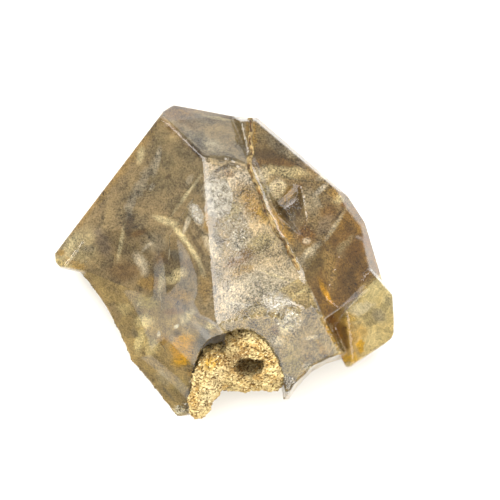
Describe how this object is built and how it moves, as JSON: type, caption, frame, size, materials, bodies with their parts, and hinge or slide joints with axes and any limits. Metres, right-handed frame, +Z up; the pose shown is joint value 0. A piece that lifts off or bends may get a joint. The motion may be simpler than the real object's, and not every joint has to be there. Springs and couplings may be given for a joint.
{
  "type": "herkimer diamond quartz specimen",
  "caption": "Smoky, iron-stained quartz crystals grown together, broken along one edge, with a lump of porous dolostone between two prongs, lying flat.",
  "frame": {"origin": "middle of the bounding box in X and Y, on the surface the specimen rests on", "axes": "+Z up, away from the surface it lies on; +Y towards the crystals' unbroken tips; +X towards the two smaller crystals"},
  "size_m": [0.0682, 0.0628, 0.0325],
  "materials": {
    "quartz": "clear smoky quartz with iron-stained fractures",
    "dolostone": "porous, iron-stained dolostone"
  },
  "bodies": {
    "root": {"quartz_crystals": "quartz", "dolostone_matrix": "dolostone"}
  },
  "joints": []
}
